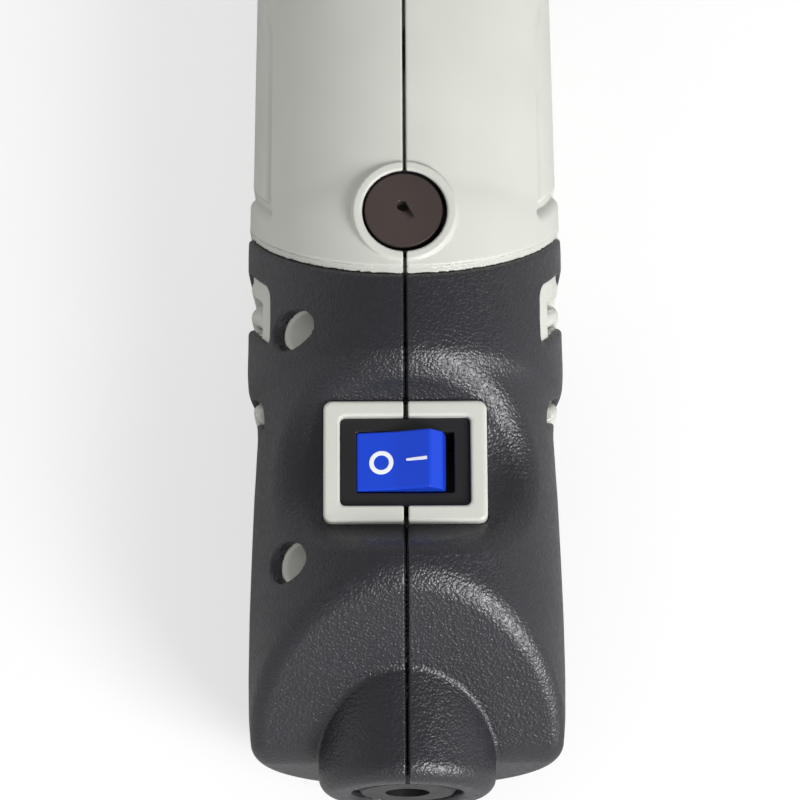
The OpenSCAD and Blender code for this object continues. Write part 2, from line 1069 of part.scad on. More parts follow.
module cord_gland() {
    color([0.13, 0.13, 0.14])
        on_boss(boss_len - 14)
            difference() {
                union() {
                    cylinder(r = mouth_r, h = 12);
                    translate([0, 0, 12 - eps])
                        cylinder(r1 = mouth_r, r2 = mouth_r - 1.6, h = 1.6);
                }
                translate([0, 0, -1])
                    cylinder(r = cord_r, h = 20);
            }
}

module cord_clamp() {
    color([0.2, 0.2, 0.21])
        on_boss(26)
            difference() {
                translate([-9, -6.7, 0])
                    cube([18, 3, 6]);
                for (x = [-6.6, 6.6])
                    translate([x, 0, 3])
                        rotate([90, 0, 0])
                            cylinder(r = 1.2, h = 12);
            }
}

module cord_clamp_screws() {
    color([0.6, 0.61, 0.63])
        on_boss(26)
            for (x = [-6.6, 6.6])
                translate([x, -6.7, 3])
                    rotate([-90, 0, 0]) {
                        translate([0, 0, -1.6])
                            cylinder(r = 2.2, h = 1.6);
                        cylinder(r = 1.1, h = 5.6);
                    }
}

shell_left();
shell_right();
grip_left();
grip_right();
housing_screws();
switch_housing();
switch_terminals();
switch_rocker();
brush_cap_top();
brush_cap_bottom();
brush_holder_top();
brush_holder_bottom();
brush_spring_top();
brush_spring_bottom();
brush_top();
brush_bottom();
stator_core();
field_coils();
rotor_core();
rotor_winding();
commutator();
spindle();
fan();
fan_baffle();
rear_bearing_outer();
rear_bearing_inner();
rear_bearing_cup();
front_bearing_outer();
front_bearing_inner();
nose_ring();
lock_ring();
collet();
collet_nut();
lock_button();
lock_spring();
speed_dial();
speed_board();
cord_gland();
cord_clamp();
cord_clamp_screws();
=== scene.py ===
import json
import math

import bpy
import numpy as np
from mathutils import Matrix, Vector


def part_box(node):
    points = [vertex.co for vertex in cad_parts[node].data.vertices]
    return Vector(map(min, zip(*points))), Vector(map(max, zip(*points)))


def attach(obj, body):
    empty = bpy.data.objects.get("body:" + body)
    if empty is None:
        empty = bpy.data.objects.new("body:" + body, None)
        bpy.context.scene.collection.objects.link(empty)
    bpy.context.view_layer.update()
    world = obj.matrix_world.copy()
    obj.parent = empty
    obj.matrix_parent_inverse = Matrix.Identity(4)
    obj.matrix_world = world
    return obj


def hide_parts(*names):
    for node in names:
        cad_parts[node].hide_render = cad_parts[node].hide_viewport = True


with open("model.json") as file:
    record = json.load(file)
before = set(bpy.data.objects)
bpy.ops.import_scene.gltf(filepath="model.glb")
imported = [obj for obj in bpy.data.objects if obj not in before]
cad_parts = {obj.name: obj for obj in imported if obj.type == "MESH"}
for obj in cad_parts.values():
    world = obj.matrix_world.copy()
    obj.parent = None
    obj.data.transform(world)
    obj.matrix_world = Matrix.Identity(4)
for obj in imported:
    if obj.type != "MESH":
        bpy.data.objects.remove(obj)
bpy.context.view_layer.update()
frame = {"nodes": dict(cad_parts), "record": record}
cadNodes = frame["nodes"]
mounts = {m["name"]: m for m in frame["record"]["mounts"]}
print("frame loaded:", len(cadNodes), "nodes")

# Lengths below are in millimetres. Y runs along the spindle to the nose, and in the fields
# Z is measured from the spindle axis. Meshes are written in metres in the frame's own axes.
metre = 0.001
axisHeight = mounts["collet_bore"]["pos_m"][2] / metre
bossHeight = mounts["cord_entry"]["pos_m"][2] / metre - axisHeight


# Fields: a field is negative inside a solid and its size is close to the distance to the surface.

def roundMax(a, b, radius):
    u = np.maximum(a + radius, 0.0)
    v = np.maximum(b + radius, 0.0)
    return np.minimum(np.maximum(a, b), -radius) + np.hypot(u, v)


def roundMin(a, b, radius):
    u = np.maximum(radius - a, 0.0)
    v = np.maximum(radius - b, 0.0)
    return np.maximum(np.minimum(a, b), radius) - np.hypot(u, v)


def roundBox(a, halfA, b, halfB, radius):
    return roundMax(np.abs(a) - halfA, np.abs(b) - halfB, radius)


def smoothTable(pairs, spread, step=0.25):
    places = np.arange(pairs[0][0] - 6.0, pairs[-1][0] + 6.0, step)
    values = np.interp(places, *np.array(pairs).T)
    reach = np.arange(-4 * spread, 4 * spread + step, step)
    weight = np.exp(-0.5 * (reach / spread) ** 2)
    half = len(reach) // 2
    padded = np.pad(values, half, mode="edge")
    return places, np.convolve(padded, weight / weight.sum(), "valid")[:len(places)]


def alongLine(u, v, start, end):
    # share of the way from start to end, and the distance from that stretch
    a, b = np.array(start), np.array(end)
    along = ((u - a[0]) * (b[0] - a[0]) + (v - a[1]) * (b[1] - a[1])) / ((b - a) ** 2).sum()
    near = np.clip(along, 0.0, 1.0)
    return along, np.hypot(u - a[0] - near * (b[0] - a[0]), v - a[1] - near * (b[1] - a[1]))


def steps(*spans):
    # each span is (start, end, spacing)
    parts = [np.linspace(a, b, max(2, int(round((b - a) / d)) + 1))[:-1] for a, b, d in spans]
    return np.concatenate(parts + [[spans[-1][1]]])


def gradient(field, p, h=0.02):
    x, y, z = p.T
    return np.stack([
        field(x + h, y, z) - field(x - h, y, z),
        field(x, y + h, z) - field(x, y - h, z),
        field(x, y, z + h) - field(x, y, z - h),
    ], axis=1) / (2 * h)


def surfaceNet(field, xs, ys, zs):
    axes = (xs, ys, zs)
    grid = field(xs[:, None, None], ys[None, :, None], zs[None, None, :])
    inside = grid < 0.0
    shape = tuple(n - 1 for n in inside.shape)
    corners = [(i, j, k) for i in (0, 1) for j in (0, 1) for k in (0, 1)]
    filled = np.zeros(shape, np.int8)
    for corner in corners:
        filled += inside[tuple(slice(c, c + n) for c, n in zip(corner, shape))]
    cells = np.argwhere((filled > 0) & (filled < 8))
    total = np.zeros((len(cells), 3))
    hits = np.zeros(len(cells))
    for corner in corners:
        for axis in range(3):
            if corner[axis]:
                continue
            near = cells + np.array(corner)
            far = near.copy()
            far[:, axis] += 1
            a = grid[tuple(near.T)]
            b = grid[tuple(far.T)]
            cross = (a < 0.0) != (b < 0.0)
            part = np.where(cross, a / np.where(cross, a - b, 1.0), 0.0)
            point = np.stack([axes[d][near[:, d]] for d in range(3)], axis=1)
            point[:, axis] += part * (axes[axis][far[:, axis]] - axes[axis][near[:, axis]])
            total += np.where(cross[:, None], point, 0.0)
            hits += cross
    points = total / hits[:, None]
    index = np.full(shape, -1, np.int64)
    index[tuple(cells.T)] = np.arange(len(cells))
    quads = []
    for axis in range(3):
        u, v = (axis + 1) % 3, (axis + 2) % 3
        first = [slice(0, n) for n in shape]
        first[u] = slice(1, shape[u])
        first[v] = slice(1, shape[v])
        second = list(first)
        second[axis] = slice(1, shape[axis] + 1)
        start, end = inside[tuple(first)], inside[tuple(second)]
        at = np.argwhere(start != end)
        outward = start[tuple(at.T)]
        at[:, u] += 1
        at[:, v] += 1
        backU = np.zeros(3, int)
        backU[u] = 1
        backV = np.zeros(3, int)
        backV[v] = 1
        ring = [at - backU - backV, at - backV, at, at - backU]
        quad = np.stack([index[tuple(c.T)] for c in ring], axis=1)
        quad[~outward] = quad[~outward][:, ::-1]
        quads.append(quad)
    return points, np.concatenate(quads)


def writeMesh(name, points, faces, normals=None):
    mesh = bpy.data.meshes.new(name)
    sides = faces.shape[1]
    mesh.vertices.add(len(points))
    mesh.vertices.foreach_set("co", (points * metre).astype(np.float32).ravel())
    mesh.loops.add(faces.size)
    mesh.loops.foreach_set("vertex_index", faces.astype(np.int32).ravel())
    mesh.polygons.add(len(faces))
    mesh.polygons.foreach_set("loop_start", np.arange(0, faces.size, sides, dtype=np.int32))
    mesh.polygons.foreach_set("loop_total", np.full(len(faces), sides, np.int32))
    mesh.polygons.foreach_set("use_smooth", np.ones(len(faces), bool))
    mesh.update(calc_edges=True)
    if normals is not None:
        mesh.normals_split_custom_set_from_vertices(normals.tolist())
    piece = bpy.data.objects.new(name, mesh)
    bpy.context.scene.collection.objects.link(piece)
    return piece


def fieldPiece(name, field, xs, ys, zs):
    points, faces = surfaceNet(field, xs, ys, zs)
    limit = 0.5 * min(np.diff(xs).min(), np.diff(ys).min(), np.diff(zs).min())
    for _ in range(3):
        slope = gradient(field, points)
        value = field(*points.T)
        move = (value / np.maximum((slope ** 2).sum(1), 0.2))[:, None] * slope
        length = np.linalg.norm(move, axis=1)[:, None]
        points = points - move * np.minimum(1.0, limit / np.maximum(length, 1e-9))
    slope = gradient(field, points)
    normals = slope / np.maximum(np.linalg.norm(slope, axis=1), 1e-9)[:, None]
    points = points + np.array([0.0, 0.0, axisHeight])
    piece = writeMesh(name, points, faces, normals)
    print("made", name, len(faces), "faces")
    return piece


# Materials

def linear(code):
    parts = [int(code[i:i + 2], 16) / 255 for i in (1, 3, 5)]
    return [c / 12.92 if c <= 0.04045 else ((c + 0.055) / 1.055) ** 2.4 for c in parts] + [1.0]


def addNode(tree, kind, settings=(), **inputs):
    node = tree.nodes.new(kind)
    for name, value in dict(settings).items():
        setattr(node, name, value)
    for name, value in inputs.items():
        # at3 is the fourth input, and any other name is the input's own label
        socket = node.inputs[int(name[2:]) if name.startswith("at") else name.replace("_", " ")]
        if isinstance(value, bpy.types.NodeSocket):
            tree.links.new(value, socket)
        else:
            socket.default_value = value
    return node


def newMaterial(name, roughness, **shader):
    material = bpy.data.materials.new(name)
    material.use_nodes = True
    tree = material.node_tree
    tree.nodes.clear()
    surface = addNode(tree, "ShaderNodeBsdfPrincipled", Roughness=roughness, **shader)
    output = addNode(tree, "ShaderNodeOutputMaterial")
    tree.links.new(surface.outputs["BSDF"], output.inputs["Surface"])
    where = addNode(tree, "ShaderNodeTexCoord").outputs["Object"]
    return material, tree, surface, where


def noise(tree, where, size, detail=2.0, roughness=0.5):
    # size is the pattern's wavelength in millimetres
    made = addNode(tree, "ShaderNodeTexNoise", Vector=where, Scale=1.0 / (size * metre),
                   Detail=detail, Roughness=roughness)
    return made.outputs["Fac"]


def mixColors(tree, amount, a, b):
    made = addNode(tree, "ShaderNodeMix", {"data_type": "RGBA"}, at0=amount, at6=a, at7=b)
    return made.outputs[2]


def ramp(tree, value, low, high, toLow=0.0, toHigh=1.0):
    made = addNode(tree, "ShaderNodeMapRange", Value=value, From_Min=low, From_Max=high,
                   To_Min=toLow, To_Max=toHigh)
    return made.outputs["Result"]


def bump(tree, surface, height, depth):
    # depth is in millimetres
    made = addNode(tree, "ShaderNodeBump", Height=height, Distance=depth * metre, Strength=1.0)
    tree.links.new(made.outputs["Normal"], surface.inputs["Normal"])


def mouldedPlastic(name, color, shade, roughness=0.42, grain=0.35, depth=0.012, **shader):
    material, tree, surface, where = newMaterial(name, roughness, **shader)
    cloud = ramp(tree, noise(tree, where, 14.0, 3.0), 0.3, 0.7)
    tree.links.new(mixColors(tree, cloud, linear(color), linear(shade)), surface.inputs["Base Color"])
    fine = noise(tree, where, grain, 2.0, 0.6)
    rough = ramp(tree, noise(tree, where, 3.0, 3.0), 0.3, 0.7, roughness - 0.04, roughness + 0.04)
    tree.links.new(rough, surface.inputs["Roughness"])
    bump(tree, surface, fine, depth)
    return material


def pebbledRubber(name, color, shade, roughness=0.5, grain=0.8, depth=0.06, **shader):
    material, tree, surface, where = newMaterial(name, roughness, **shader)
    # creased leather-like cells, pulled out of round by a slow noise
    slow = 1.0 / (1.7 * grain * metre)
    drift = addNode(tree, "ShaderNodeTexNoise", Vector=where, Scale=slow).outputs["Color"]
    warped = addNode(tree, "ShaderNodeMix", {"data_type": "VECTOR", "factor_mode": "UNIFORM"},
                     at0=0.0007, at4=where, at5=drift).outputs[1]
    cell = addNode(tree, "ShaderNodeTexVoronoi", {"feature": "SMOOTH_F1"}, Vector=warped,
                   Scale=1.0 / (grain * metre), Smoothness=0.18).outputs["Distance"]
    cloud = ramp(tree, noise(tree, where, 9.0, 3.0), 0.3, 0.7)
    tree.links.new(mixColors(tree, cloud, linear(color), linear(shade)), surface.inputs["Base Color"])
    rough = ramp(tree, noise(tree, where, 1.2, 2.0), 0.3, 0.7, roughness - 0.06, roughness + 0.06)
    tree.links.new(rough, surface.inputs["Roughness"])
    domes = ramp(tree, cell, 0.0, 0.75, 1.0, 0.0)
    bump(tree, surface, domes, depth)
    return material


def turnedMetal(name, color, roughness=0.28, depth=0.01, **shader):
    material, tree, surface, where = newMaterial(name, roughness, Metallic=1.0, **shader)
    stretched = addNode(tree, "ShaderNodeMapping", Vector=where, Scale=(1.0, 14.0, 1.0)).outputs["Vector"]
    lines = noise(tree, stretched, 2.0, 2.0)
    tree.links.new(mixColors(tree, lines, linear(color), linear("#6f7276")), surface.inputs["Base Color"])
    rough = ramp(tree, lines, 0.3, 0.7, roughness - 0.08, roughness + 0.1)
    tree.links.new(rough, surface.inputs["Roughness"])
    bump(tree, surface, lines, depth)
    return material


def paint(thing, material):
    thing.data.materials.clear()
    thing.data.materials.append(material)


greyPlastic = mouldedPlastic("greyAbs", "#cfd0c8", "#cacbc3", 0.42, Specular_IOR_Level=0.35)
blackRubber = pebbledRubber("blackGrip", "#1c1c24", "#18181f", 0.41, grain=0.5, depth=0.085,
                            Specular_IOR_Level=0.8)
blackNylon = mouldedPlastic("blackNylon", "#232224", "#1f1e20", 0.36, depth=0.006, Specular_IOR_Level=0.4)
blueNylon = mouldedPlastic("blueNylon", "#1f48d2", "#1c44cc", 0.24, depth=0.003,
                           Specular_IOR_Level=0.2)
markPaint = mouldedPlastic("markInk", "#f4f6fd", "#eceffa", 0.45, depth=0.004)
brownPhenolic = mouldedPlastic("brownPhenolic", "#463c39", "#3d3533", 0.4, depth=0.01,
                               Specular_IOR_Level=0.3)
smoothRubber = mouldedPlastic("glandRubber", "#1f1f21", "#1a1a1c", 0.42, grain=0.8,
                              Specular_IOR_Level=0.3)
brightSteel = turnedMetal("groundSteel", "#c9ccd0", 0.22)
dullSteel = turnedMetal("lamination", "#8d9095", 0.42)
bearingSteel = turnedMetal("bearingSteel", "#d2d4d8", 0.16)
noseAlloy = turnedMetal("noseAlloy", "#c3c6ca", 0.3)
brassMetal = turnedMetal("brass", "#c9a352", 0.3)
copperWire = turnedMetal("copper", "#b5683a", 0.35)
carbonBlack = mouldedPlastic("carbon", "#242424", "#1d1d1d", 0.6, depth=0.01)
boardGreen = mouldedPlastic("boardGreen", "#23613a", "#1c5331", 0.4, depth=0.01)
fibreBoard = mouldedPlastic("fibreBoard", "#c4bca2", "#b9b195", 0.7, depth=0.02)

nodeMaterials = {
    blackNylon: ["switch_housing", "fan", "cord_clamp", "lock_ring", "lock_button", "speed_dial"],
    blueNylon: ["switch_rocker"],
    brownPhenolic: ["brush_cap_top", "brush_cap_bottom"],
    smoothRubber: ["cord_gland", "rear_bearing_cup"],
    brightSteel: ["spindle", "collet", "collet_nut", "brush_spring_top", "brush_spring_bottom",
                  "lock_spring"],
    dullSteel: ["stator_core", "rotor_core", "housing_screws", "cord_clamp_screws"],
    bearingSteel: ["rear_bearing_outer", "rear_bearing_inner", "front_bearing_outer",
                   "front_bearing_inner"],
    noseAlloy: ["nose_ring"],
    brassMetal: ["switch_terminals", "brush_holder_top", "brush_holder_bottom"],
    copperWire: ["field_coils", "rotor_winding", "commutator"],
    carbonBlack: ["brush_top", "brush_bottom"],
    boardGreen: ["speed_board"],
    fibreBoard: ["fan_baffle"],
    greyPlastic: ["shell_left", "shell_right"],
    blackRubber: ["grip_left", "grip_right"],
}
for material, names in nodeMaterials.items():
    for name in names:
        paint(cadNodes[name], material)
print("materials ready")


# Housing: one outer form that the grey shells and the black grips share

housing = {
    "profile": [
        (-50, 25.2), (-44, 25.7), (-37, 25.8), (-27, 25.7), (-20, 25.5), (-13.7, 25.3), (-6.8, 25.05),
        (-3.4, 24.85), (0, 24.7), (3.5, 24.5), (6.9, 24.7), (8.7, 24.9), (9.6, 25.2), (11.2, 26.1),
        (14.8, 26.3), (20, 26.2), (35.9, 26.3), (38.6, 26.2), (40.4, 26.0), (46, 26.0), (60, 25.9),
        (82, 25.6), (92, 25.1), (97.3, 24.2), (102.7, 22.0), (108, 19.0),
        (113.3, 16.0), (118.7, 13.9), (124, 13.0),
    ],
    "tailY": -50.5, "noseY": 124.0, "tailRadius": 2.6,
    "gripThickness": 1.7, "wall": 3.9, "seamHalf": 0.28, "seamRadius": 0.3,
    "shellLip": 2.7, "gripLip": 0.95, "lipGap": 0.03, "frameGap": 0.1,
}
split = {"y": 38.4, "slope": 0.654, "tip": 4.0, "gripRadius": 0.6, "shellRadius": 0.45, "ledge": 1.25,
         "ledgeDepth": 0.5}
scoop = {"y": -6.15, "z": 29.3, "radius": 14.6, "rim": 2.4}
bevel = {"y": -26.2, "z": 25.8, "slope": 0.95, "rim": 2.2}
boss = {"radius": 14.4, "length": 56.0, "start": 24.0, "rim": 3.0, "fillet": 0.5, "mouth": 9.0,
        "mouthRim": 0.8}
window = {"top": 6.3, "bottom": 16.0, "halfHeight": 13.4, "corner": 1.4, "rim": 0.9,
          "floor": 0.9, "slotHalfHeight": 9.2, "ribs": (8.7, 13.7), "ribRadius": 1.75,
          "ribTop": 25.7, "ribBow": 0.02, "hollow": 1.05, "slots": ((11.2, 0.9), (13.7, 1.9))}
lowWindow = {"top": 28.2, "bottom": 32.4, "halfHeight": 7.6, "rib": 30.2, "ribRadius": 1.2,
             "ribTop": 25.2}
ring = {"y": 34.6, "radius": 8.5, "bore": 6.9, "top": 26.5, "rim": 0.45}
screws = {"spots": [(16.9, 18.2), (-21.5, 16.4), (16.9, -18.2), (-21.5, -16.8), (100.5, 18),
                    (100.5, -18)],
          "gripHole": 3.3, "hole": 2.95, "boss": 4.4, "head": 6.0}
switchFrame = {"y": -5.6, "x": -0.1, "halfX": 13.15, "halfY": 10.05, "top": 20.0, "bar": 2.65,
               "corner": 1.4, "rim": 0.55, "bottom": 11.5}
panel = {"tailY": 45.9, "tailSlope": 0.63, "cornerY": 71.9, "noseSlope": 2.7, "noseY": 88.0,
         "halfHeight": 13.4, "floor": 24.85, "wallRadius": 0.45, "tailRadius": 1.6, "margin": 1.9,
         "tailMargin": 1.1, "padTail": [(44, 25.6), (50, 25.45), (64, 25.3), (82, 25.06)],
         "padRadius": 0.7}
dialSlot = {"y": -45.7, "z": -17.2, "radius": 6.7, "halfWidth": 3.5}
nosePocket = {"bearingY": 116.9, "bearingHalf": 5.5, "bearingRadius": 11.1, "ringY": 118.0,
              "ringRadius": 9.65}
lockHole = {"y": 107.0, "radius": 3.9, "bottom": 6.0}
exhaust = {"y": 94.0, "halfLength": 3.0, "halfWidth": 1.5, "corner": 0.8, "spacing": 17.0, "eachWay": 2,
           "inside": 17.0}

profileY, profileR = smoothTable(housing["profile"], 0.8)
profileSlope = 1.0 / np.hypot(1.0, np.gradient(profileR, profileY))


def barrelField(x, y, z):
    radius = np.interp(y, profileY, profileR)
    return (np.hypot(x, z) - radius) * np.interp(y, profileY, profileSlope)


def alongBoss(y, z):
    return -y, z - bossHeight


def formField(x, y, z):
    body = roundMax(barrelField(x, y, z), housing["tailY"] - y, housing["tailRadius"])
    hollow = scoop["radius"] - np.hypot(y - scoop["y"], z - scoop["z"])
    body = roundMax(body, hollow, scoop["rim"])
    slope = bevel["slope"]
    slant = (bevel["y"] - slope * (bevel["z"] - z) - y) / math.hypot(1.0, slope)
    body = roundMax(body, slant, bevel["rim"])
    along, across = alongBoss(y, z)
    round_ = roundMax(np.hypot(x, across) - boss["radius"], along - boss["length"], boss["rim"])
    round_ = np.maximum(round_, boss["start"] - along)
    return roundMin(body, round_, boss["fillet"])


def behindSplit(y, z):
    # distance behind the colour split, along Y, and the factor that makes it a true distance
    reach = np.hypot(z, split["tip"])
    behind = split["y"] - split["slope"] * (reach - split["tip"]) - y
    return behind, 1.0 / np.hypot(1.0, split["slope"] * z / reach)


def windowField(x, y, z, shape, grow=0.0):
    behind, scale = behindSplit(y, z)
    corner = shape.get("corner", 1.0)
    band = roundMax((shape["top"] - behind) * scale, (behind - shape["bottom"]) * scale, corner)
    return np.maximum(roundMax(band, np.abs(z) - shape["halfHeight"], corner), 17.0 - np.abs(x)) - grow


def panelTail(y, z):
    high = np.hypot(z, 2.0) - 2.0
    return (panel["tailY"] - panel["tailSlope"] * high - y) / math.hypot(1.0, panel["tailSlope"])


def panelField(x, y, z, inset=0.0, tailInset=0.0):
    slant = y - panel["cornerY"] - panel["noseSlope"] * (panel["halfHeight"] - np.abs(z))
    nose = roundMax(slant / math.hypot(1.0, panel["noseSlope"]), y - panel["noseY"], 1.0) + inset
    band = roundMax(panelTail(y, z) + tailInset, nose, 1.0)
    band = roundMax(band, np.abs(z) - panel["halfHeight"] + inset, 0.6)
    return np.maximum(band, 17.0 - np.abs(x))


def screwField(x, y, z, radius, depth=0.0):
    found = 1e3
    for spotY, spotZ in screws["spots"]:
        found = np.minimum(found, np.hypot(y - spotY, z - spotZ) - radius)
    return np.maximum(found, x + depth)


def frameField(x, y, z, inset=0.0, radius=None):
    half = (switchFrame["halfX"] - inset, switchFrame["halfY"] - inset)
    corner = switchFrame["corner"] if radius is None else radius
    return roundBox(x - switchFrame["x"], half[0], y - switchFrame["y"], half[1], corner)


def ringField(x, y, radius):
    return np.hypot(x, y - ring["y"]) - radius


def mouthField(x, y, z, radius):
    along, across = alongBoss(y, z)
    return np.maximum(np.hypot(x, across) - radius, boss["length"] - 14.0 - along)


def dialField(x, y, z):
    wheel = np.hypot(y - dialSlot["y"], z - dialSlot["z"]) - dialSlot["radius"]
    return np.maximum(wheel, np.abs(x) - dialSlot["halfWidth"])


def gripField(x, y, z):
    outer = formField(x, y, z)
    behind, scale = behindSplit(y, z)
    skin = roundMax(outer, -(behind - 0.12) * scale, split["gripRadius"])
    skin = roundMax(skin, -windowField(x, y, z, window), window["rim"])
    skin = roundMax(skin, -windowField(x, y, z, lowWindow), 0.5)
    skin = roundMax(skin, -screwField(x, y, z, screws["gripHole"]), 0.35)
    skin = roundMax(skin, -mouthField(x, y, z, boss["mouth"]), boss["mouthRim"])
    skin = np.maximum(skin, -dialField(x, y, z))
    skin = np.maximum(skin, -np.maximum(frameField(x, y, z, -0.08), switchFrame["bottom"] - z))
    skin = np.maximum(skin, -(outer + housing["gripThickness"]))
    return roundMax(skin, -axisHeight - z, 0.3)


def shellField(x, y, z):
    outer = formField(x, y, z)
    behind, scale = behindSplit(y, z)
    front = roundMax(outer, (behind + split["ledge"]) * scale, split["shellRadius"])
    front = np.minimum(front, roundMax(outer + split["ledgeDepth"], behind * scale, 0.15))
    front = roundMax(front, y - housing["noseY"], 0.8)
    # sunk side panel with a raised pad in it
    radial = np.hypot(x, z)
    atTail = np.clip(1.0 + panelTail(y, z) / 3.0, 0.0, 1.0)
    wallRadius = panel["wallRadius"] + (panel["tailRadius"] - panel["wallRadius"]) * atTail
    front = roundMax(front, -np.maximum(panelField(x, y, z), panel["floor"] - radial), wallRadius)
    padTop = radial - np.interp(y, *np.array(panel["padTail"]).T)
    pad = roundMax(panelField(x, y, z, panel["margin"], panel["tailMargin"]), padTop, panel["padRadius"])
    front = roundMin(front, pad, 0.25)
    solid = np.minimum(front, outer + housing["gripThickness"])
    # floor and ribs of the side windows
    frameBand = windowField(x, y, z, window, 0.4)
    solid = np.minimum(solid, np.maximum(outer + window["floor"], frameBand))
    solid = np.minimum(solid, np.maximum(outer + 1.1, windowField(x, y, z, lowWindow, 0.3)))
    inSlots = roundMax(np.abs(z) - window["slotHalfHeight"], 18.0 - np.abs(x), 0.3)
    for middle, half in window["slots"]:
        solid = roundMax(solid, -roundMax(np.abs(behind - middle) * scale - half, inSlots, 0.3), 0.3)
    for middle, hollow in zip(window["ribs"], (0.0, window["hollow"])):
        ribTop = window["ribTop"] - window["ribBow"] * z * z
        rib = np.hypot((behind - middle) * scale, radial - ribTop + window["ribRadius"])
        fin = np.maximum(rib - window["ribRadius"], hollow - rib)
        solid = roundMin(solid, roundMax(fin, inSlots, 0.3), 0.15)
    rib = np.hypot((behind - lowWindow["rib"]) * scale,
                   radial - lowWindow["ribTop"] + lowWindow["ribRadius"])
    lowEnds = np.maximum(np.abs(z) - lowWindow["halfHeight"] + 0.8, 18.0 - np.abs(x))
    solid = roundMin(solid, roundMax(rib - lowWindow["ribRadius"], lowEnds, 0.3), 0.2)
    # hollow inside, with a column down to each screw
    solid = np.maximum(solid, -(outer + housing["wall"]))
    column = np.maximum(screwField(x, y, z, screws["boss"], 0.3), outer + housing["gripThickness"] + 0.1)
    solid = np.minimum(solid, column)
    # ring round each brush cap
    ringWall = roundMax(ringField(x, y, ring["radius"]), np.abs(z) - ring["top"], ring["rim"])
    solid = roundMin(solid, np.maximum(ringWall, 14.0 - np.abs(z)), 0.3)
    solid = roundMax(solid, -ringField(x, y, ring["bore"]), 0.4)
    # switch frame
    rim = roundMax(frameField(x, y, z), z - switchFrame["top"], switchFrame["rim"])
    solid = np.minimum(solid, np.maximum(rim, switchFrame["bottom"] - z))
    well = np.maximum(frameField(x, y, z, switchFrame["bar"], 0.9), 4.0 - z)
    solid = roundMax(solid, -well, 0.4)
    # holes
    solid = roundMax(solid, -screwField(x, y, z, screws["hole"], screws["head"]), 0.5)
    solid = np.maximum(solid, -screwField(x, y, z, 1.55))
    solid = np.maximum(solid, -mouthField(x, y, z, boss["mouth"]))
    solid = np.maximum(solid, -dialField(x, y, z))
    # nose: pocket of the bearing and the threaded ring, then the ring's own bore
    pocket = np.maximum(radial - nosePocket["bearingRadius"],
                        np.abs(y - nosePocket["bearingY"]) - nosePocket["bearingHalf"])
    solid = np.maximum(solid, -pocket)
    solid = np.maximum(solid, -np.maximum(radial - nosePocket["ringRadius"], nosePocket["ringY"] - y))
    # lock button's hole
    hole = np.maximum(np.hypot(x, y - lockHole["y"]) - lockHole["radius"], lockHole["bottom"] - z)
    solid = roundMax(solid, -hole, 0.3)
    # exhaust slots on both sides of the fan
    turn = np.degrees(np.arctan2(z, np.abs(x)))
    place = np.clip(np.round(turn / exhaust["spacing"]), -exhaust["eachWay"], exhaust["eachWay"])
    nearest = np.abs(turn - exhaust["spacing"] * place) * math.pi / 180 * radial
    slot = roundMax(nearest - exhaust["halfWidth"], np.abs(y - exhaust["y"]) - exhaust["halfLength"],
                    exhaust["corner"])
    solid = roundMax(solid, -np.maximum(slot, exhaust["inside"] - radial), 0.3)
    return roundMax(solid, -axisHeight - z, 0.3)


def halfOf(field, side, lip):
    # the part of a field on one side of the seam, with softly rounded seam edges,
    # and below the depth of its lip a tongue that closes the seam
    def half(x, y, z):
        whole = field(x, y, z)
        atFrame = np.maximum(frameField(x, y, z, -0.5), 15.0 - z) < 0.0
        gap = housing["seamHalf"] + housing["frameGap"] * atFrame
        outside = roundMax(whole, gap - side * x, housing["seamRadius"])
        tongue = np.maximum(formField(x, y, z) + lip, housing["lipGap"] - side * x)
        return np.minimum(outside, np.maximum(whole, tongue))
    return half


def halfSteps(side, plain, atHoles):
    xs = steps((0.0, 1.4, 0.2), (1.4, 13.0, plain), (13.0, 22.4, atHoles), (22.4, 27.2, plain))
    return xs if side > 0 else -xs[::-1]


coarse = 1.0
for side, word in ((-1, "left"), (1, "right")):
    gripY = steps((-60.0, -25.6, 0.62 * coarse), (-25.6, -17.4, 0.34 * coarse),
                  (-17.4, 12.6, 0.42 * coarse), (12.6, 40.0, 0.34 * coarse))
    gripZ = steps((-25.4, 0.0, 0.6 * coarse), (0.0, 13.0, 0.45 * coarse), (13.0, 22.4, 0.34 * coarse),
                  (22.4, 27.4, 0.42 * coarse))
    grip = fieldPiece("grip" + word.title(), halfOf(gripField, side, housing["gripLip"]),
                      halfSteps(side, 0.5 * coarse, 0.38 * coarse), gripY, gripZ)
    paint(grip, blackRubber)
    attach(grip, "housing")
    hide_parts("grip_" + word)
    shellY = steps((-59.0, -16.5, 1.6 * coarse), (-16.5, 5.0, 0.4 * coarse), (5.0, 49.0, 0.34 * coarse),
                   (49.0, 90.0, 0.8 * coarse), (90.0, 125.0, 0.6 * coarse))
    shellZ = steps((-25.4, -14.2, 0.7 * coarse), (-14.2, -10.6, 0.4 * coarse), (-10.6, 7.4, 0.6 * coarse),
                   (7.4, 14.6, 0.32 * coarse), (14.6, 22.4, 0.38 * coarse), (22.4, 27.4, 0.45 * coarse))
    shell = fieldPiece("shell" + word.title(), halfOf(shellField, side, housing["shellLip"]),
                       halfSteps(side, 0.55 * coarse, 0.42 * coarse), shellY, shellZ)
    paint(shell, greyPlastic)
    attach(shell, "housing")
    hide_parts("shell_" + word)


def detailPiece(name, field, body, material, spans, node=None):
    piece = fieldPiece(name, field, *spans)
    paint(piece, material)
    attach(piece, body)
    if node:
        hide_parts(node)
    return piece


def nodeSpan(name, axis, spacing, extra=0.4):
    # sample places across a CAD node's box, in millimetres, with z from the spindle axis
    low, high = (corner[axis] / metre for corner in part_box(name))
    shift = axisHeight if axis == 2 else 0.0
    return steps((low - shift - extra, high - shift + extra, spacing * coarse))


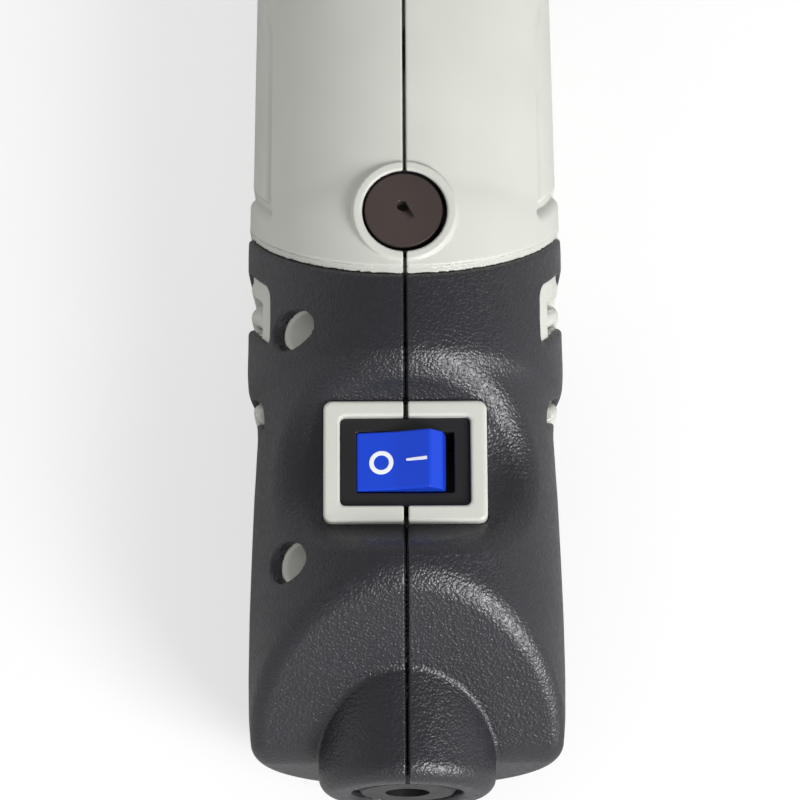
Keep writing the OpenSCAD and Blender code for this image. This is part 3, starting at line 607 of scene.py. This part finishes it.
def nodeSpans(name, spacing, extra=0.4):
    return [nodeSpan(name, axis, spacing, extra) for axis in range(3)]


# Switch: a black bezel with a tapered well, and a blue rocker with its end pressed at the O

switch = {"x": -0.1, "y": -5.6, "top": 18.9, "bezelHalf": (10.42, 7.42), "bezelRim": 0.45, "flange": 2.0,
          "bodyHalf": (9.4, 6.3), "bodyDepth": 15.0, "openingHalf": (7.86, 5.05), "lip": 0.35,
          "wellHalf": 9.0, "wellDepth": 11.5}
rocker = {"pivot": 11.9, "tilt": 13.0, "halfY": 4.85, "valley": 8.0, "top": 8.5, "topHalf": 6.0,
          "edge": 0.32, "y": -5.5, "half": 7.65, "heel": (6.4, 1.6), "heelSlant": (0.679, 0.735),
          "foot": -2.0, "pinRadius": 1.0, "pinHalf": 5.8}
marks = {"ring": (-3.95, -5.8), "ringRadius": 1.58, "stroke": 0.37, "dashStart": (0.2, -5.55),
         "dashEnd": (3.2, -5.5), "dashHalf": 0.3, "proud": 0.05, "spans": (
             (-6.2, 3.8, 0.09), (-8.0, -3.6, 0.09), (18.6, 21.4, 0.06))}


def bezelField(x, y, z):
    u, v = x - switch["x"], y - switch["y"]
    flange = roundBox(u, switch["bezelHalf"][0], v, switch["bezelHalf"][1], 0.6)
    flange = roundMax(flange, np.abs(z - switch["top"] + switch["flange"] / 2) - switch["flange"] / 2,
                      switch["bezelRim"])
    trunk = roundBox(u, switch["bodyHalf"][0], v, switch["bodyHalf"][1], 0.4)
    trunk = np.maximum(trunk, z - switch["top"] + 1.0)
    trunk = np.maximum(trunk, switch["top"] - switch["bodyDepth"] - z)
    down = switch["top"] - z
    flare = np.clip(down - switch["lip"], 0.0, switch["wellHalf"] - switch["openingHalf"][0])
    hole = roundMax(np.abs(u) - switch["openingHalf"][0] - flare * 0.9,
                    np.abs(v) - switch["openingHalf"][1], 0.3)
    hole = np.maximum(hole, down - switch["wellDepth"])
    return roundMax(np.minimum(flange, trunk), -hole, 0.22)


def turnedToRocker(x, z):
    # from the frame into the rocker's own level position, about its pivot
    c, s = math.cos(math.radians(rocker["tilt"])), math.sin(math.radians(rocker["tilt"]))
    u, w = x - switch["x"], z - rocker["pivot"]
    return u * c + w * s, w * c - u * s


def rockerField(x, y, z):
    u, w = turnedToRocker(x, z)
    u = np.abs(u)
    rise = (rocker["top"] - rocker["valley"]) / rocker["topHalf"]
    face = w - rocker["valley"] - rise * (np.hypot(u, 0.5) - 0.5)
    end = 0.8 * (u - rocker["topHalf"]) + 0.6 * (w - rocker["top"])
    solid = roundMax(face, end, rocker["edge"])
    solid = roundMax(solid, u - rocker["half"], 0.15)
    (slantU, slantW), (heelU, heelW) = rocker["heelSlant"], rocker["heel"]
    solid = np.maximum(solid, slantU * (u - heelU) - slantW * (w - heelW))
    solid = np.maximum(solid, rocker["foot"] - w)
    solid = roundMax(solid, np.abs(y - rocker["y"]) - rocker["halfY"], rocker["edge"])
    pin = np.maximum(np.hypot(u, w) - rocker["pinRadius"], np.abs(y - switch["y"]) - rocker["pinHalf"])
    return np.minimum(solid, pin)


def markField(x, y, z):
    # raised ink on the rocker's faces: an O on the pressed side and a dash on the other
    overX, overY = x - marks["ring"][0], y - marks["ring"][1]
    ringMark = np.abs(np.hypot(overX, overY) - marks["ringRadius"]) - marks["stroke"]
    along, dash = alongLine(x, y, marks["dashStart"], marks["dashEnd"])
    dash = dash - marks["dashHalf"] * (0.72 + 0.28 * np.clip(along, 0.0, 1.0))
    surface = rockerField(x, y, z)
    skin = np.maximum(surface - marks["proud"], -surface - 0.12)
    return roundMax(np.minimum(ringMark, dash), skin, 0.03)


detailPiece("switchBezel", bezelField, "housing", blackNylon, nodeSpans("switch_housing", 0.3),
            "switch_housing")
detailPiece("switchRocker", rockerField, "rocker", blueNylon, nodeSpans("switch_rocker", 0.16),
            "switch_rocker")
detailPiece("rockerMarks", markField, "rocker", markPaint, [steps(span) for span in marks["spans"]])


# Brush caps: slotted brown screw plugs that sit a little out of centre in their rings

# the liner numbers set a thin black sleeve in the ring's bore, which is painted shade for the gap round
# the cap
caps = {"x": -0.2, "y": 0.3, "radius": 6.4, "edge": 0.35, "slotStart": (-0.25, 0.75),
        "slotEnd": (1.1, -1.7), "slotHalf": 0.8, "slotDepth": 1.7, "pitDepth": 2.6, "pitRadius": 0.85,
        "stem": 3.6, "head": 3.2, "top": 25.7, "lowTop": 23.6, "foot": 19.0, "flange": 6.7,
        "flangeLength": 0.6, "shadeLiner": (6.79, 6.95), "shadeLinerTop": 25.95, "shadeLinerFoot": 22.2}


def capField(x, y, z, top, shift):
    u, v = x - shift * caps["x"], y - ring["y"] - shift * caps["y"]
    far = np.hypot(u, v)
    plug = roundMax(far - caps["radius"], z - top, caps["edge"])
    plug = np.maximum(plug, top - caps["head"] - z)
    middle = np.hypot(x, y - ring["y"])
    stem = np.maximum(middle - caps["stem"], np.maximum(caps["foot"] - z, z - top + 1.0))
    half = caps["flangeLength"] / 2
    foot = np.maximum(middle - caps["flange"], np.abs(z - top + caps["head"] - half) - half)
    plug = np.minimum(plug, np.minimum(stem, foot))
    along, side = alongLine(u, v, caps["slotStart"], caps["slotEnd"])
    side = side - caps["slotHalf"]
    a, b = np.array(caps["slotStart"]), np.array(caps["slotEnd"])
    across = ((u - a[0]) * (a[1] - b[1]) + (v - a[1]) * (b[0] - a[0])) / math.hypot(*(b - a))
    depth = np.clip(1.0 - along, 0.0, 1.0) * np.clip(0.55 + 0.6 * across / caps["slotHalf"], 0.0, 1.0)
    slot = np.maximum(side, top - caps["slotDepth"] * depth - z)
    pit = np.maximum(np.hypot(u - a[0], v - a[1]) - caps["pitRadius"], top - caps["pitDepth"] - z)
    return roundMax(plug, -np.minimum(slot, pit), 0.12)


def topCapField(x, y, z):
    return capField(x, y, z, caps["top"], 1.0)


def bottomCapField(x, y, z):
    return capField(-x, y, -z, caps["lowTop"], 0.0)


detailPiece("brushCapTop", topCapField, "top_cap", brownPhenolic,
            nodeSpans("brush_cap_top", 0.17), "brush_cap_top")
detailPiece("brushCapBottom", bottomCapField, "bottom_cap", brownPhenolic,
            nodeSpans("brush_cap_bottom", 0.22), "brush_cap_bottom")


def turnedPiece(name, outline, y, material, body, count=96):
    # a closed outline of radius and height turned about an upright axis at y
    turn = np.linspace(0.0, 2 * math.pi, count, endpoint=False)[:, None]
    radius, height = np.array(outline, float).T
    points = np.stack([np.cos(turn) * radius, y + np.sin(turn) * radius, height + 0 * turn], axis=2)
    index = np.arange(count * len(outline)).reshape(count, len(outline))
    after, above = np.roll(index, -1, axis=0), np.roll(index, -1, axis=1)
    faces = np.stack([index, after, np.roll(after, -1, axis=1), above], axis=2).reshape(-1, 4)
    points = points.reshape(-1, 3) + np.array([0.0, 0.0, axisHeight])
    piece = writeMesh(name, points, faces)
    piece.data.polygons.foreach_set("use_smooth", np.zeros(len(faces), bool))
    paint(piece, material)
    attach(piece, body)
    return piece


# painted shade: a thin black sleeve lines the bore of the top cap's ring, so that the gap round the cap is
# dark
inner, outer = caps["shadeLiner"]
turnedPiece("capShadeLiner", [(inner, caps["shadeLinerFoot"]), (outer, caps["shadeLinerFoot"]), (outer, caps["shadeLinerTop"]),
                         (inner, caps["shadeLinerTop"])], ring["y"], blackNylon, "housing")


# Nose: a threaded ring, a notched lock ring and a collet nut with six flats

nose = {"flangeY": 119.4, "flangeLength": 3.0, "flangeRadius": 11.0, "neckRadius": 8.7, "rootRadius": 9.8,
        "rootY": 124.0, "threadY": 128.8, "endY": 136.3, "crest": 9.0, "threadDepth": 0.62, "pitch": 1.5,
        "bore": 7.4, "fade": 0.8}
lockRing = {"start": 124.3, "end": 128.6, "radius": 12.35, "bore": 9.88, "notches": 12, "notchAt": 13.0,
            "notch": 1.25, "edge": 0.45}
nut = {"start": 136.6, "flats": 5.0, "front": 10.0, "end": 13.0, "collar": 6.6, "halfFlat": 6.06,
       "point": 6.95, "coneSlope": 0.6, "coneStart": 9.1, "tip": 4.6, "bore": 4.88, "boreDepth": 6.2,
       "step": 3.45, "stepDepth": 10.6, "hole": 2.6}


def ringSpan(y, start, end):
    return np.maximum(start - y, y - end)


def noseRingField(x, y, z):
    far = np.hypot(x, z)
    turn = np.arctan2(z, x) / (2 * math.pi)
    wave = np.abs(((y / nose["pitch"] - turn) % 1.0) - 0.5) * 2.0
    depth = nose["threadDepth"] * np.clip(1.25 * wave - 0.12, 0.0, 1.0)
    fade = np.clip((nose["endY"] - y) / nose["fade"], 0.0, 1.0)
    threadRadius = nose["crest"] - depth - 0.5 * (1.0 - fade)
    flangeEnd = nose["flangeY"] + nose["flangeLength"]
    flange = np.maximum(far - nose["flangeRadius"], ringSpan(y, nose["flangeY"], flangeEnd))
    neck = np.maximum(far - nose["neckRadius"], ringSpan(y, nose["flangeY"], nose["rootY"] + 0.5))
    root = roundMax(far - nose["rootRadius"], ringSpan(y, nose["rootY"], nose["threadY"]), 0.2)
    thread = roundMax((far - threadRadius) * 0.8, ringSpan(y, nose["rootY"] + 2.0, nose["endY"]), 0.2)
    solid = np.minimum(np.minimum(flange, neck), np.minimum(root, thread))
    return roundMax(solid, nose["bore"] - far, 0.3)


def lockRingField(x, y, z):
    far = np.hypot(x, z)
    part = 2 * math.pi / lockRing["notches"]
    turn = np.arctan2(z, x)
    off = turn - np.round(turn / part) * part
    notch = np.hypot(far * np.cos(off) - lockRing["notchAt"], far * np.sin(off)) - lockRing["notch"]
    solid = roundMax(far - lockRing["radius"], ringSpan(y, lockRing["start"], lockRing["end"]),
                     lockRing["edge"])
    solid = roundMax(solid, -notch, 0.3)
    return roundMax(solid, lockRing["bore"] - far, 0.25)


def colletNutField(x, y, z):
    far = np.hypot(x, z)
    along = y - nut["start"]
    turn = np.arctan2(x, z)
    off = turn - np.round(turn / (math.pi / 3)) * (math.pi / 3)
    hexagon = roundMax(far * np.cos(off) - nut["halfFlat"], far - nut["point"], 0.2)
    hexagon = roundMax(hexagon, ringSpan(along, nut["flats"] - 0.5, nut["front"]), 0.4)
    cone = (far - nut["point"] + nut["coneSlope"] * (along - nut["coneStart"])) * 0.86
    hexagon = np.maximum(hexagon, cone)
    collar = roundMax(far - nut["collar"], ringSpan(along, 0.0, nut["flats"]), 0.35)
    tip = roundMax(far - nut["tip"], ringSpan(along, nut["front"] - 1.0, nut["end"]), 0.5)
    solid = np.minimum(np.minimum(collar, hexagon), tip)
    solid = roundMax(solid, nut["hole"] - far, 0.25)
    solid = np.maximum(solid, -np.maximum(far - nut["bore"], along - nut["boreDepth"]))
    return np.maximum(solid, -np.maximum(far - nut["step"], along - nut["stepDepth"]))


detailPiece("noseRing", noseRingField, "housing", noseAlloy, nodeSpans("nose_ring", 0.26),
            "nose_ring")
detailPiece("lockRing", lockRingField, "lock_ring_body", blackNylon, nodeSpans("lock_ring", 0.28),
            "lock_ring")
detailPiece("colletNut", colletNutField, "nut", brightSteel, nodeSpans("collet_nut", 0.22),
            "collet_nut")


# Camera: on the tail side of the switch, looking down at the handle

view = {"target": (-0.9, 10.4, axisHeight), "lean": 16.5, "distance": 610.0, "roll": 0.29,
        "lens": 164.7}


def makeCamera():
    lean, roll = math.radians(view["lean"]), math.radians(view["roll"])
    back = Vector((0.0, -math.sin(lean), math.cos(lean)))
    up = Vector((0.0, math.cos(lean), math.sin(lean)))
    right = Vector((1.0, 0.0, 0.0))
    rolledUp = up * math.cos(roll) + right * math.sin(roll)
    rolledRight = right * math.cos(roll) - up * math.sin(roll)
    data = bpy.data.cameras.new("camera")
    data.sensor_width = 36.0
    data.lens = view["lens"]
    data.clip_start, data.clip_end = 0.05, 20.0
    camera = bpy.data.objects.new("camera", data)
    bpy.context.scene.collection.objects.link(camera)
    place = (Vector(view["target"]) + back * view["distance"]) * metre
    camera.matrix_world = Matrix((
        (rolledRight.x, rolledUp.x, back.x, place.x),
        (rolledRight.y, rolledUp.y, back.y, place.y),
        (rolledRight.z, rolledUp.z, back.z, place.z),
        (0.0, 0.0, 0.0, 1.0),
    ))
    bpy.context.scene.camera = camera


# Floor, background and soft studio lamps

studio = {
    "floorSize": 6.0,
    "worldStrength": 0.42,
    "horizon": 0.8,
    "ceiling": 0.3,
    "ceilingFrom": 0.12,
    "ceilingTo": 0.5,
    "floorShadow": 0.36,
    "floorGlow": 0.62,
    "floorColor": 0.8,
    "floorMirrored": 0.56,
    "lamps": [
        {"name": "key", "toward": (0.56, -0.59, 0.58), "distance": 0.9, "size": 0.4, "power": 8.8,
         "mirrored": True},
        {"name": "fill", "toward": (-0.7, 0.1, 0.7), "distance": 1.1, "size": 0.8, "power": 1.6,
         "mirrored": False},
    ],
}


def makeLamp(name, toward, distance, size, power, mirrored):
    data = bpy.data.lights.new(name, "AREA")
    data.shape = "SQUARE"
    data.size = size
    data.energy = power
    lamp = bpy.data.objects.new(name, data)
    lamp.visible_glossy = mirrored
    bpy.context.scene.collection.objects.link(lamp)
    direction = Vector(toward).normalized()
    lamp.location = Vector((0.0, 0.01, 0.02)) + direction * distance
    lamp.rotation_mode = "QUATERNION"
    lamp.rotation_quaternion = direction.to_track_quat("Z", "Y")


def mathNode(tree, operation, a, b):
    return addNode(tree, "ShaderNodeMath", {"operation": operation}, at0=a, at1=b).outputs[0]


def makeFloorMaterial():
    # seen directly, the lit floor is white and keeps a soft share of the shadow,
    # and in a reflection it is a little darker
    material = bpy.data.materials.new("paleFloor")
    material.use_nodes = True
    tree = material.node_tree
    tree.nodes.clear()
    pale = (1.0, 1.0, 1.0, 1.0)
    lit, mirrored, share = (
        addNode(tree, "ShaderNodeBsdfDiffuse", Color=(studio[tone],) * 3 + (1.0,)).outputs[0]
        for tone in ("floorColor", "floorMirrored", "floorShadow"))
    glow = addNode(tree, "ShaderNodeEmission", Color=pale, Strength=studio["floorGlow"]).outputs[0]
    shown = addNode(tree, "ShaderNodeAddShader", at0=share, at1=glow).outputs[0]
    path = addNode(tree, "ShaderNodeLightPath").outputs
    seen = mathNode(tree, "MAXIMUM", path["Is Camera Ray"], path["Is Transmission Ray"])
    plain = addNode(tree, "ShaderNodeMixShader", Fac=path["Is Glossy Ray"], at1=lit, at2=mirrored)
    both = addNode(tree, "ShaderNodeMixShader", Fac=seen, at1=plain.outputs[0], at2=shown).outputs[0]
    addNode(tree, "ShaderNodeOutputMaterial", Surface=both)
    return material


def makeStudio():
    scene = bpy.context.scene
    scene.view_settings.view_transform = "Standard"
    scene.view_settings.look = "None"
    world = bpy.data.worlds.new("studio")
    scene.world = world
    world.use_nodes = True
    tree = world.node_tree
    tree.nodes.clear()
    # white to the camera and through glass; in a reflection pale at the horizon, with a dimmer ceiling
    path = addNode(tree, "ShaderNodeLightPath").outputs
    toward = addNode(tree, "ShaderNodeTexCoord").outputs["Generated"]
    upward = addNode(tree, "ShaderNodeSeparateXYZ", at0=toward).outputs["Z"]
    mirrored = ramp(tree, upward, studio["ceilingFrom"], studio["ceilingTo"], studio["horizon"],
                    studio["ceiling"])
    mirrored = mathNode(tree, "MULTIPLY", path["Is Glossy Ray"], mirrored)
    seen = mathNode(tree, "MAXIMUM", path["Is Camera Ray"], path["Is Transmission Ray"])
    plain = mathNode(tree, "SUBTRACT", 1.0, mathNode(tree, "MAXIMUM", seen, path["Is Glossy Ray"]))
    strength = mathNode(tree, "MULTIPLY_ADD", plain, studio["worldStrength"])
    tree.links.new(mathNode(tree, "ADD", seen, mirrored), strength.node.inputs[2])
    sky = addNode(tree, "ShaderNodeBackground", Color=(1.0, 1.0, 1.0, 1.0), Strength=strength)
    output = addNode(tree, "ShaderNodeOutputWorld")
    tree.links.new(sky.outputs[0], output.inputs["Surface"])
    half = studio["floorSize"] / 2 / metre
    corners = np.array([(-half, -half, 0.0), (half, -half, 0.0), (half, half, 0.0), (-half, half, 0.0)])
    floor = writeMesh("floor", corners - np.array([0.0, 0.0, 0.05]), np.array([[0, 1, 2, 3]]))
    paint(floor, makeFloorMaterial())
    for lamp in studio["lamps"]:
        makeLamp(**lamp)


makeCamera()
makeStudio()
print("camera and lamps ready")
